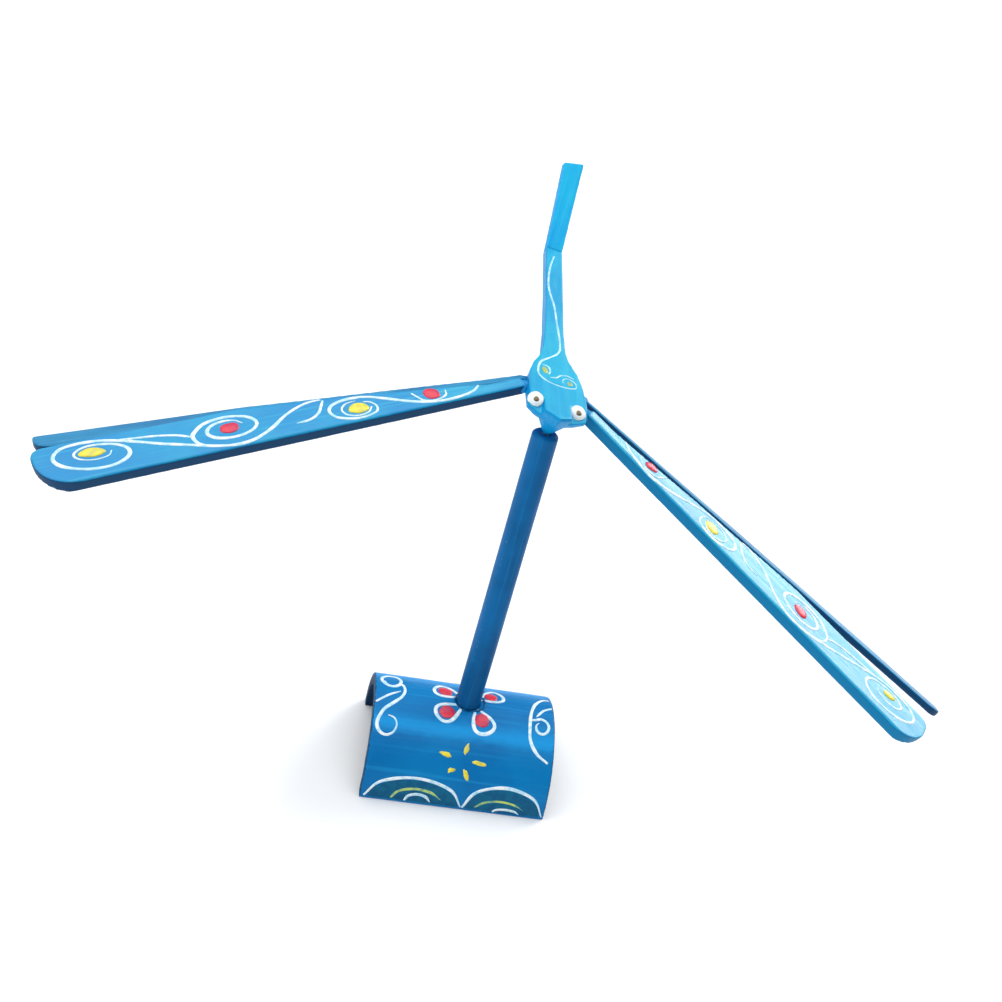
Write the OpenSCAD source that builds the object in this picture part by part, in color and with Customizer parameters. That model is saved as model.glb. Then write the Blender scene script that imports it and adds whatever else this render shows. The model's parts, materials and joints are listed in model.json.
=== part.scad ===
// Balancing dragonfly: a hand-painted bamboo dragonfly that rests by its beak in a dimple on top of a
// round post and turns there freely. The post stands in a drilled half of a bamboo tube.
// Units are millimetres. +X runs along the wings, -Y is the front (the side the head faces), +Z is up.
// Right (+X) and left (-X) are as seen from the front.
// The origin lies on the table plane under the middle of the whole outline.

/* [Stand] */
// Length of the half tube along X
base_len = 47; // [35:0.5:70]
// Outer radius of the half tube, which is also its height
base_r = 19; // [14:0.5:26]
// Wall thickness of the half tube
base_wall = 3; // [2:0.1:5]
// Distance of the post from the middle of the half tube
post_shift = 1.7; // [-4:0.1:4]
// Radius of the round post
post_r = 3.2; // [2.5:0.1:5]
// Height of the balance point above the table
pivot_h = 98.4; // [70:0.1:130]
// Rim of the post above the balance point
rim_h = 0.35; // [0.2:0.05:0.8]
// Radius of the dimple in the post
dimple_r = 1.0; // [0.9:0.05:1.5]
// Lean of the handmade post to the right, in degrees
post_lean = 0.8; // [-3:0.1:3]
// Radius of the flared mouth of the dimple
dimple_mouth_r = 1.9; // [1.2:0.05:2.4]
// Chamfer on the post's upper edge
post_chamfer = 0.6; // [0.2:0.1:1.2]
// Where the post stands, from the origin along X
stand_x = 1.672; // [-6:0.001:6]
// Where the post stands, from the origin along Y
stand_y = -25.090; // [-40:0.001:0]

/* [Resting pose of the dragonfly] */
// Nod, head up, in degrees
rest_nod = 1.2; // [-5:0.1:5]
// Sway, right wings down, in degrees: the handmade wings are not quite equal
rest_sway = 8.2; // [-12:0.1:12]
// Turn about the post, in degrees
rest_turn = -1.5; // [-180:0.1:180]

/* [Head, thorax and tail] */
// Height of the flat upper face above the balance point
head_top = 8.5; // [6:0.1:12]
// Thickness of the head and thorax
head_t = 4.0; // [3:0.1:6]
// Half width at the shoulders
head_w = 7.1; // [6:0.1:10]
// Reach of the pointed forehead in front of the balance point
nose_y = 7.6; // [5:0.1:10]
// Reach of the front shoulder corners in front of the balance point
shoulder_y = 3.0; // [1:0.1:5]
// Slope of the cut below the forehead, in degrees
nose_cut = 34; // [15:1:50]
// Distance from the balance point to the tail's root
tail_root_y = 25.6; // [18:0.1:35]
// Height of the tail's root
tail_root_z = 9.3; // [7:0.1:12]
// Distance from the balance point to the bend in the tail
bend_y = 78.9; // [60:0.1:95]
// Height of the bend in the tail
bend_z = 16.6; // [8:0.1:30]
// Thickness of the tail strip
tail_t = 3.085; // [1.5:0.001:4]
// Half width of the tail strip
tail_w = 2.35; // [1.8:0.1:4]
// Length of the rear tail piece
rear_len = 25.5; // [15:0.5:40]
// Slope of the rear tail piece, in degrees
rear_slope = 55.2; // [10:0.1:80]
// Half width at the tail's blunt end
rear_w = 2.75; // [2:0.1:4]
// How far the tail's blunt end was glued askew, towards +X
rear_skew = -1.7; // [-3:0.1:3]
// How much longer the right edge of the rear tail piece is than its left edge
rear_slant = 1.4; // [-2:0.1:2]

/* [Beak] */
// Half width of the beak under the head
beak_w = 4.4; // [2:0.1:6]
// Front reach of the beak under the head
beak_front = 5.0; // [2:0.1:7]
// Rear reach of the beak under the head
beak_rear = 2.6; // [1:0.1:5]
// Radius of the beak at its lower end
beak_tip_r = 0.75; // [0.6:0.05:1.2]
// How fast the beak widens upwards from its tip, in millimetres per millimetre
beak_flare = 0.75; // [0.5:0.05:0.9]
// Radius of the round bamboo nib
nib_r = 0.55; // [0.4:0.01:0.6]
// Clearance between the coats of the tip
tip_gap = 0.05; // [0.02:0.01:0.1]
// Thickness of each coat on the tip
coat_t = 0.15; // [0.1:0.01:0.2]

/* [Forewings] */
// Length of the right forewing's blade
fore_len_right = 105.6; // [80:0.1:130]
// Length of the left forewing's blade
fore_len_left = 107.5; // [80:0.1:130]
// Root of the right forewing's front edge: X, Y, Z from the balance point
fore_root_right = [7.8, 2.1, 7.2];
// Root of the left forewing's front edge, mirrored to the right side
fore_root_left = [7.8, 5.3, 7.7];
// Forward sweep, droop and pitch (rear edge up) of the right forewing, in degrees
fore_right = [28.5, 16.5, 5.3];
// Forward sweep, droop and pitch of the left forewing, in degrees
fore_left = [29.4, 16.7, 5.3];
// Chord of a forewing at the root, past the middle and at the tip
fore_chord = [3.0, 11.4, 11.4];
// Thickness of a forewing at its front and rear edges
fore_t = [3.0, 0.7];
// Corner radii of a forewing's tip: front and rear
fore_round = [7.5, 2.5];
// How much thicker the left forewing is whittled than the right one: it trims the sway
fore_trim = -0.044; // [-0.3:0.001:0.3]

/* [Hindwings] */
// Length of the right hindwing's blade
hind_len_right = 112.8; // [80:0.1:130]
// Length of the left hindwing's blade
hind_len_left = 108.5; // [80:0.5:130]
// Root of a hindwing's front edge: X, Y, Z from the balance point
hind_root = [7.6, 11.0, 6.8];
// Forward sweep, droop and pitch of the right hindwing, in degrees
hind_right = [22.5, 14.9, -20];
// Forward sweep, droop and pitch of the left hindwing, in degrees
hind_left = [23.5, 16.7, -16];
// Chord of a hindwing at the root, past the middle and at the tip
hind_chord = [2.6, 7.4, 9.2];
// Thickness of a hindwing at its front and rear edges
hind_t = [1.9, 0.7];
// Corner radii of a hindwing's tip: front and rear
hind_round = [4, 3];

/* [Wing pegs and eyes] */
// Radius of a forewing's whittled peg
fore_peg_r = 0.95; // [0.8:0.05:1.5]
// Radius of a hindwing's whittled peg
hind_peg_r = 0.8; // [0.6:0.05:1.2]
// Height of a forewing's peg above the middle of its blade
fore_peg_up = 0.4; // [0:0.05:0.6]
// Height of a hindwing's peg above the middle of its blade
hind_peg_up = 0.3; // [0:0.05:0.5]
// Length of a peg, which lies level in the thorax while its blade droops
peg_len = 4.6; // [3:0.1:7]
// Glue gap around a peg
glue_gap = 0.05; // [0.02:0.01:0.1]
// Eye position: half spacing and distance behind the balance point
eye_at = [5.2, -0.4];
// Sideways shift of both eyes, which were placed by hand
eye_shift = -0.4; // [-1:0.1:1]
// Forward slope of the eye seats, in degrees
eye_tilt = 25; // [0:1:45]
// Radius of an eye's white disc
eye_r = 1.9; // [1:0.1:2.5]
// Height of an eye's dome
eye_h = 0.6; // [0.3:0.05:1]
// Height of an eye's rim below its dome
eye_rim = 0.25; // [0.1:0.05:0.5]
// Radius of a pupil
pupil_r = 0.75; // [0.4:0.05:1.2]

/* [Hidden] */
$fn = 96;
// Larger than any part, for cutting shapes
big = 60;
// Small bevels along the edges of a blade
bevel = 0.4;
// Shares of a blade's length at which its narrow stem ends and it reaches its middle and its full chord
stem_share = 0.08;
mid_share = 0.3;
full_share = 0.6;
// How far the drilled holes run past the face they start in
overrun = 4;
pivot = [stand_x, stand_y, pivot_h];
base_mid = stand_x - post_shift;
base_inner = base_r - base_wall;
front_slope = atan2(bend_z - tail_root_z, bend_y - tail_root_y);
half_bend = (rear_slope - front_slope) / 2;
bend = [bend_y, bend_z];
// Lower end of the mitre between the two tail pieces, seen from the side
mitre = (tail_t / cos(half_bend)) * [cos(front_slope + half_bend - 90), sin(front_slope + half_bend - 90)];
tail_drop = tail_t / cos(front_slope);

// Turns a shape drawn about the balance point into the dragonfly's resting pose.
module rest_pose() {
    translate(pivot) rotate([0, 0, rest_turn]) rotate([rest_nod, 0, 0]) rotate([0, rest_sway, 0]) children();
}

// Draws a side outline (distance behind, height) as a slab across X.
module side_slab(points, half_width) {
    rotate([90, 0, 90]) linear_extrude(height = 2 * half_width, center = true) polygon(points);
}

// Domed cap of a given rim radius and height, standing on z = 0.
module cap(r, h) {
    ball = (r * r + h * h) / (2 * h);
    intersection() {
        translate([0, 0, h - ball]) sphere(ball);
        cylinder(r = r + 1, h = h + 1);
    }
}

// Outline of a wing blade: straight front edge, rear edge that widens past the middle, rounded tip.
module blade_outline(len, chord, rounds) {
    front = rounds[0];
    rear = rounds[1];
    steps = 12;
    polygon(concat(
        [[0, 0]],
        [for (i = [0:steps]) let (a = -90 + 90 * i / steps) [len - front + front * cos(a), front + front * sin(a)]],
        [for (i = [0:steps]) let (a = 90 * i / steps)
            [len - rear + rear * cos(a), chord[2] - rear + rear * sin(a)]],
        [[full_share * len, chord[1]], [mid_share * len, (chord[0] + chord[1]) / 2],
         [stem_share * len, chord[0] + 0.1], [0, chord[0]]]
    ));
}

// Wing in its own frame: span along +X, front edge on the X axis, upper face on z = 0.
module blade(len, chord, thick, rounds) {
    intersection() {
        linear_extrude(height = big, center = true) blade_outline(len, chord, rounds);
        rotate([90, 0, 90]) linear_extrude(height = len)
            polygon([[0, -bevel], [bevel, 0], [chord[1], 0], [chord[1], -thick[1]],
                     [bevel, -thick[0]], [0, bevel - thick[0]]]);
    }
}

// Middle of a blade's root section, seen from the root of its front edge before the blade is swept.
function root_middle(chord, thick, angles) =
    let (down = chord[0] / 2 * sin(angles[2]) - thick[0] / 2 * cos(angles[2]))
    [down * sin(angles[1]), chord[0] / 2 * cos(angles[2]) + thick[0] / 2 * sin(angles[2]), down * cos(angles[1])];

// Level rod from a blade's root into the thorax, which starts a little way out in the blade.
module peg(root, angles, chord, thick, up, r, start, len) {
    translate(root) rotate([0, 0, -angles[0]])
        translate(root_middle(chord, thick, angles) + [start, 0, up]) rotate([0, -90, 0])
            cylinder(r = r, h = len + start);
}

// Moves a wing's own frame to its root on the right side.
module at_root(root, angles) {
    translate(root) rotate([angles[2], angles[1], -angles[0]]) children();
}

module fore_peg(side, gap, start) {
    peg(fore_root(side), fore_angles(side), fore_chord, fore_thick(side), fore_peg_up, fore_peg_r + gap, start,
        peg_len + 2 * gap);
}

module hind_peg(angles, gap, start) {
    peg(hind_root, angles, hind_chord, hind_t, hind_peg_up, hind_peg_r + gap, start, peg_len + 2 * gap);
}

module peg_holes() {
    for (side = [0, 1]) mirror([side, 0, 0]) {
        fore_peg(side, glue_gap, overrun);
        hind_peg(side == 0 ? hind_right : hind_left, glue_gap, overrun);
    }
}

function fore_root(side) = side == 0 ? fore_root_right : fore_root_left;
function fore_angles(side) = side == 0 ? fore_right : fore_left;
function fore_thick(side) = side == 0 ? fore_t : [fore_t[0] + fore_trim, fore_t[1] + fore_trim];

module base() {
    color("#1f78c8") difference() {
        translate([base_mid, stand_y, 0]) rotate([0, 90, 0]) difference() {
            cylinder(r = base_r, h = base_len, center = true);
            cylinder(r = base_inner, h = base_len + 2, center = true);
            translate([0, -big / 2, -big]) cube([big, big, 2 * big]);
        }
        along_post() cylinder(r = post_r + glue_gap, h = base_r + 1);
    }
}

// Frame of the leaning post: its axis passes through the balance point.
module along_post() {
    translate(pivot) rotate([0, post_lean, 0]) translate([0, 0, -pivot_h]) children();
}

module post() {
    // The post's foot stands a little proud inside the half tube
    foot = base_inner - 0.6;
    top = pivot_h + rim_h;
    color("#12609c") along_post() difference() {
        union() {
            translate([0, 0, foot]) cylinder(r = post_r, h = top - post_chamfer - foot);
            translate([0, 0, top - post_chamfer])
                cylinder(r1 = post_r, r2 = post_r - post_chamfer, h = post_chamfer);
        }
        translate([0, 0, pivot_h]) sphere(dimple_r);
        translate([0, 0, pivot_h]) cylinder(r = dimple_r, h = 2);
        translate([0, 0, pivot_h - 0.1]) cylinder(r1 = dimple_r - 0.01, r2 = dimple_mouth_r, h = rim_h + 0.1);
        translate([0, 0, top]) cylinder(r = dimple_mouth_r, h = 1);
    }
}

// Bowl-shaped coat on the lower half of the tip, between two radii about the balance point.
module tip_coat(inner) {
    translate(pivot) difference() {
        sphere(inner + coat_t);
        sphere(inner);
        translate([-big / 2, -big / 2, -coat_t]) cube(big);
    }
}

module tip_varnish() {
    color("#d8e8f0") tip_coat(nib_r + 2 * tip_gap + coat_t);
}

module tip_paint() {
    color("#1f78c8") tip_coat(nib_r + tip_gap);
}

module nib() {
    color("#c9a15a") translate(pivot) sphere(nib_r);
}

// Side outline of the head, thorax and front part of the tail.
function body_side() = [
    [-nose_y - 1, head_top], [12, head_top], [tail_root_y, tail_root_z], bend, bend + mitre,
    [tail_root_y + 3, tail_root_z + 3 * tan(front_slope) - tail_drop], [19, head_top - head_t + 1.2],
    [12, head_top - head_t], [-nose_y - 1, head_top - head_t]
];

// Outline from above: pointed forehead, shoulders, waist and narrow tail.
function half_outline() = [
    [head_w, -shoulder_y], [head_w + 0.1, 6], [head_w - 0.3, 12.5], [head_w - 1.4, 18],
    [head_w - 3.3, 23], [tail_w + 0.6, 27.5], [tail_w + 0.1, 38], [tail_w, bend_y + 4]
];

module body() {
    half = half_outline();
    count = len(half);
    color("#22a0e0") rest_pose() difference() {
        union() {
            intersection() {
                side_slab(body_side(), head_w + 1);
                linear_extrude(height = 50) polygon(concat([[0, -nose_y]], half,
                    [for (i = [count - 1:-1:0]) [-half[i][0], half[i][1]]]));
                // Lower edges cut back along the sides of the thorax
                rotate([90, 0, 0]) linear_extrude(height = 200, center = true)
                    polygon([[-9, 50], [9, 50], [9, head_top - 2.2], [head_w - 2.4, head_top - head_t],
                             [head_w - 2.4, 0], [2.4 - head_w, 0], [2.4 - head_w, head_top - head_t],
                             [-9, head_top - 2.2]]);
                forehead_cut();
            }
            beak();
        }
        sphere(nib_r + tip_gap);
        peg_holes();
        for (side = [-1, 1]) at_eye(side) eye_seat(side);
    }
}

// Keeps what lies behind the two slanting faces below the forehead.
module forehead_cut() {
    difference() {
        translate([-big, -big, -big]) cube([2 * big, 4 * big, 2 * big]);
        for (side = [0, 1]) mirror([side, 0, 0])
            translate([0, -nose_y, head_top - 0.9]) rotate([0, 0, atan2(nose_y - shoulder_y, head_w)])
                rotate([nose_cut, 0, 0]) translate([-big / 2, -big, -big]) cube([big, big, 2 * big]);
    }
}

// Whittled four-sided beak that ends in a round tip about the balance point.
module beak() {
    low = 0.15;
    high = head_top - head_t + 0.5;
    intersection() {
        side_slab([[-beak_front, high], [beak_rear, high], [beak_tip_r, low], [-beak_tip_r, low]], big);
        rotate([90, 0, 0]) linear_extrude(height = big, center = true)
            polygon([[-beak_w, high], [beak_w, high], [beak_tip_r, low], [-beak_tip_r, low]]);
        translate([0, 0, low]) cylinder(r1 = beak_tip_r, r2 = beak_tip_r + beak_flare * (high - low), h = high - low);
    }
}

module tail_rear() {
    color("#22a0e0") rest_pose() intersection() {
        side_slab([bend, bend + (rear_len + 3) * [cos(rear_slope), sin(rear_slope)],
                   bend + (rear_len + 3) * [cos(rear_slope), sin(rear_slope)]
                        + tail_t * [sin(rear_slope), -cos(rear_slope)],
                   bend + mitre], rear_w + 3);
        translate([0, bend_y, bend_z]) rotate([rear_slope, 0, 0]) translate([0, 0, -10])
            linear_extrude(height = 20)
                polygon([[-tail_w, 0], [-tail_w, -4], [tail_w, -4], [tail_w, 0],
                         [rear_skew + rear_w, rear_len + rear_slant / 2],
                         [rear_skew - rear_w, rear_len - rear_slant / 2]]);
    }
}

module forewing(side) {
    rest_pose() mirror([side, 0, 0]) {
        at_root(fore_root(side), fore_angles(side))
            blade(side == 0 ? fore_len_right : fore_len_left, fore_chord, fore_thick(side), fore_round);
        fore_peg(side, 0, 1.2);
    }
}

module hindwing(side) {
    angles = side == 0 ? hind_right : hind_left;
    rest_pose() mirror([side, 0, 0]) {
        at_root(hind_root, angles)
            blade(side == 0 ? hind_len_right : hind_len_left, hind_chord, hind_t, hind_round);
        hind_peg(angles, 0, 1.2);
    }
}

module forewing_right() {
    color("#22a0e0") forewing(0);
}

module forewing_left() {
    color("#22a0e0") forewing(1);
}

module hindwing_right() {
    color("#1c8fcc") hindwing(0);
}

module hindwing_left() {
    color("#1c8fcc") hindwing(1);
}

// Frame of an eye: the seat is cut forward from the edge of the flat upper face.
module at_eye(side) {
    translate([side * eye_at[0] + eye_shift, eye_at[1], head_top - eye_r * sin(eye_tilt)])
        rotate([eye_tilt, 0, 0]) children();
}

// Cut for an eye's seat, which runs out over the front corner of the head.
module eye_seat(side) {
    hull() for (x = [0, side * 1.5], y = [0, -5]) translate([x, y, 0]) cylinder(r = eye_r, h = 4);
}

// Eye: a round white dab with a domed top on its slanted seat.
module eye(side) {
    rest_pose() at_eye(side) {
        cylinder(r = eye_r, h = eye_rim);
        translate([0, 0, eye_rim]) cap(eye_r, eye_h);
    }
}

// Pupil: a thin dark dab that lies on the top of the eye's dome.
module pupil(side) {
    ball = (eye_r * eye_r + eye_h * eye_h) / (2 * eye_h);
    rest_pose() at_eye(side) translate([0, 0, eye_rim]) difference() {
        translate([0, 0, eye_h - 0.2]) cap(pupil_r, 0.4);
        translate([0, 0, eye_h - ball]) sphere(ball);
    }
}

module eye_right() {
    color("#f4f4ee") eye(1);
}

module eye_left() {
    color("#f4f4ee") eye(-1);
}

module pupil_right() {
    color("#3a2a18") pupil(1);
}

module pupil_left() {
    color("#3a2a18") pupil(-1);
}

base();
post();
tip_varnish();
tip_paint();
nib();
body();
tail_rear();
forewing_right();
forewing_left();
hindwing_right();
hindwing_left();
eye_right();
eye_left();
pupil_right();
pupil_left();
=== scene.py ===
"""Looks of the balancing dragonfly: carved, painted bamboo, brush strokes, studio light and camera.

Sizes are in millimetres in each part's own frame, as in the design, and MM turns them into metres.
Every wooden part is carved from its CAD solid: its edges are softened and its faces made slightly uneven.
The painted decoration is thin raised paint that follows the carved faces.
"""

import json
import math
import random

import bmesh
import bpy
import numpy as np
from mathutils import Matrix, Vector, noise
from mathutils.bvhtree import BVHTree


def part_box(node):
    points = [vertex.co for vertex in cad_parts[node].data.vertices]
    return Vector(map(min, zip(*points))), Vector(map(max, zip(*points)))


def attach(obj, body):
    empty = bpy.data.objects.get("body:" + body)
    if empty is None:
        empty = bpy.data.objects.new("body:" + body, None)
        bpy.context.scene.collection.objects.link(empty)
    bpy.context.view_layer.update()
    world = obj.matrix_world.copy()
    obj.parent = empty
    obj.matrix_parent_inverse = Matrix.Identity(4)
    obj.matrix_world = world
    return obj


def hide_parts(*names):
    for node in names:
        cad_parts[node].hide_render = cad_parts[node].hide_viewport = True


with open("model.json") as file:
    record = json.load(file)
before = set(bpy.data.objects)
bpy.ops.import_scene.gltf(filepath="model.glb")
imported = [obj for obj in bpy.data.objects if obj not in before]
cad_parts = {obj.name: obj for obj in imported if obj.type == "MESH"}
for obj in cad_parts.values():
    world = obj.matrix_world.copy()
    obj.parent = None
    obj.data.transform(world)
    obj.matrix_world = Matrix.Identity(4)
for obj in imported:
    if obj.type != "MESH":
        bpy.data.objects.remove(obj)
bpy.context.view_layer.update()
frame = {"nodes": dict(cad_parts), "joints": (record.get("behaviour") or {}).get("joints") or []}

MM = 0.001
random.seed(7)

# ---------------------------------------------------------------- the frame, and each part's own frame

# The balance point and the box round the stand, in metres
PIVOT = Vector(next(j["pos_m"] for j in frame["joints"] if j["name"] == "spin"))
BASE_LOW, BASE_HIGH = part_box("base")
# Radius and length of the half tube
BASE_RADIUS = (BASE_HIGH.z - BASE_LOW.z) / MM
BASE_LENGTH = (BASE_HIGH.x - BASE_LOW.x) / MM
# How far the balance point lies from the middle of the stand, along X
POST_SHIFT = (PIVOT.x - (BASE_LOW.x + BASE_HIGH.x) / 2) / MM
# Length of the stand's outer arc from its front edge up to its crest
CREST = math.pi / 2 * BASE_RADIUS

# Resting pose of the dragonfly, and lean of the post, in degrees
REST_TURN = -1.5
REST_NOD = 1.2
REST_SWAY = 8.2
POST_LEAN = 0.8
# Bend of the tail, behind and above the balance point, and slope of the piece behind it
TAIL_BEND = (78.9, 16.6)
REAR_SLOPE = 55.2
# Roots of the wings from the balance point; the left ones are mirrored to the right side
FORE_ROOT = {"right": (7.8, 2.1, 7.2), "left": (7.8, 5.3, 7.7)}
HIND_ROOT = (7.6, 11.0, 6.8)
# Forward sweep, droop and pitch of the wings, in degrees
FORE_ANGLES = {"right": (28.5, 16.5, 5.3), "left": (29.4, 16.7, 5.3)}
HIND_ANGLES = {"right": (22.5, 14.9, -20.0), "left": (23.5, 16.7, -16.0)}
# Seats of the eyes: half their distance and their Y, shift of both along X, tilt in degrees, and radius
EYE_AT = (5.2, -0.4)
EYE_SHIFT = -0.4
EYE_TILT = 25.0
EYE_RADIUS = 1.9
# Height of the head's flat upper face above the balance point
HEAD_TOP = 8.5


def turn(axis, degrees):
    """A turn about an axis through the origin."""
    return Matrix.Rotation(math.radians(degrees), 4, axis)


def move(x, y, z):
    """A shift, in millimetres."""
    return Matrix.Translation(Vector((x, y, z)) * MM)


# Frames of the dragonfly and of the post, both at the balance point, of the stand, at its middle on
# the table, and of the rear piece of the tail, at the bend
REST = Matrix.Translation(PIVOT) @ turn("Z", REST_TURN) @ turn("X", REST_NOD) @ turn("Y", REST_SWAY)
POST = Matrix.Translation(PIVOT) @ turn("Y", POST_LEAN)
BASE = Matrix.Translation(((BASE_LOW.x + BASE_HIGH.x) / 2, (BASE_LOW.y + BASE_HIGH.y) / 2, 0))
REAR = REST @ move(0, *TAIL_BEND) @ turn("X", REAR_SLOPE)


def wing_frame(side, root, angles):
    """Span along +X, upper face on z = 0, rear edge towards +Y on the right wing and -Y on the left."""
    sweep, droop, pitch = angles
    place = move(*root) @ turn("Z", -sweep) @ turn("Y", droop) @ turn("X", pitch)
    if side == "left":
        place = Matrix.Scale(-1, 4, (1, 0, 0)) @ place @ Matrix.Scale(-1, 4, (0, 1, 0))
    return REST @ place


def eye_frame(side):
    """The middle of an eye's cut seat, with +Z square to the seat."""
    sign = 1 if side == "right" else -1
    drop = EYE_RADIUS * math.sin(math.radians(EYE_TILT))
    return REST @ move(sign * EYE_AT[0] + EYE_SHIFT, EYE_AT[1], HEAD_TOP - drop) @ turn("X", EYE_TILT)


# ---------------------------------------------------------------- node materials

def new_material(name):
    """An empty material with one Principled shader: the material, its node tree and the shader."""
    material = bpy.data.materials.new(name)
    material.use_nodes = True
    tree = material.node_tree
    tree.nodes.clear()
    out = tree.nodes.new("ShaderNodeOutputMaterial")
    shader = tree.nodes.new("ShaderNodeBsdfPrincipled")
    tree.links.new(shader.outputs[0], out.inputs["Surface"])
    return material, tree, shader


def math_node(tree, operation, *values):
    """A sum, product or other operation on numbers and sockets."""
    node = tree.nodes.new("ShaderNodeMath")
    node.operation = operation
    for socket, value in zip(node.inputs, values):
        if isinstance(value, (int, float)):
            socket.default_value = value
        else:
            tree.links.new(value, socket)
    return node.outputs[0]


def noise_node(tree, per_mm, detail=4.0, rough=0.55, distortion=0.0, seed=0.0):
    """Noise over the part's own coordinates; per_mm is the frequency along its X, Y and Z."""
    where = tree.nodes.new("ShaderNodeTexCoord")
    scale = tree.nodes.new("ShaderNodeMapping")
    scale.inputs["Scale"].default_value = [f / MM for f in per_mm]
    scale.inputs["Location"].default_value = (seed, seed * 1.7, seed * 0.6)
    tree.links.new(where.outputs["Object"], scale.inputs[0])
    tex = tree.nodes.new("ShaderNodeTexNoise")
    tex.inputs["Scale"].default_value = 1.0
    tex.inputs["Detail"].default_value = detail
    tex.inputs["Roughness"].default_value = rough
    tex.inputs["Distortion"].default_value = distortion
    tree.links.new(scale.outputs[0], tex.inputs["Vector"])
    return tex.outputs["Fac"]


def span(tree, value, low, high, to_low=0.0, to_high=1.0):
    """Eases from to_low to to_high while the value goes from low to high."""
    node = tree.nodes.new("ShaderNodeMapRange")
    node.interpolation_type = "SMOOTHSTEP"
    for socket, v in zip(node.inputs[1:5], (low, high, to_low, to_high)):
        socket.default_value = v
    tree.links.new(value, node.inputs[0])
    return node.outputs[0]


def blend_colours(tree, amount, first, second):
    """The first colour where amount is 0 and the second where it is 1."""
    node = tree.nodes.new("ShaderNodeMix")
    node.data_type = "RGBA"
    tree.links.new(amount, node.inputs[0])
    for socket, colour in ((node.inputs[6], first), (node.inputs[7], second)):
        if isinstance(colour, tuple):
            socket.default_value = (*colour, 1.0)
        else:
            tree.links.new(colour, socket)
    return node.outputs[2]


def bump(tree, height, strength, distance_mm, under=None):
    """Relief of the given height, laid over the relief in under."""
    node = tree.nodes.new("ShaderNodeBump")
    node.inputs["Strength"].default_value = strength
    node.inputs["Distance"].default_value = distance_mm * MM
    tree.links.new(height, node.inputs["Height"])
    if under is not None:
        tree.links.new(under, node.inputs["Normal"])
    return node.outputs[0]


def part_axis(tree, axis):
    """One of the part's own coordinates, in metres."""
    where = tree.nodes.new("ShaderNodeTexCoord")
    split = tree.nodes.new("ShaderNodeSeparateXYZ")
    tree.links.new(where.outputs["Object"], split.inputs[0])
    return split.outputs["XYZ".index(axis)]


def along(axis, slow, fast):
    """Frequencies of a pattern that is slow along the grain and fast across it."""
    return [slow if a == axis else fast for a in "XYZ"]


def facing_up(tree):
    """How far a face looks along the part's own Z."""
    where = tree.nodes.new("ShaderNodeTexCoord")
    split = tree.nodes.new("ShaderNodeSeparateXYZ")
    tree.links.new(where.outputs["Normal"], split.inputs[0])
    return split.outputs[2]


# Dark paint used as painted shade inside the stand and on its ends (the darkest is also the nib's thin
# paint), and bare bamboo
DARK_BLUE = (0.003, 0.045, 0.12)
DARKEST = (0.002, 0.018, 0.045)
BARE = (0.52, 0.36, 0.17)
BARE_DARK = (0.24, 0.14, 0.05)
# Share of bare bamboo that shows through at the chipped edges, and of light paint along every edge
WEAR = 0.12
EDGE_LIGHT = 0.22
# Upward part of the direction in which the band of painted highlight faces: about 30 degrees from straight
# up
PAINTED_HIGHLIGHT_FACING = 0.87


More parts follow.
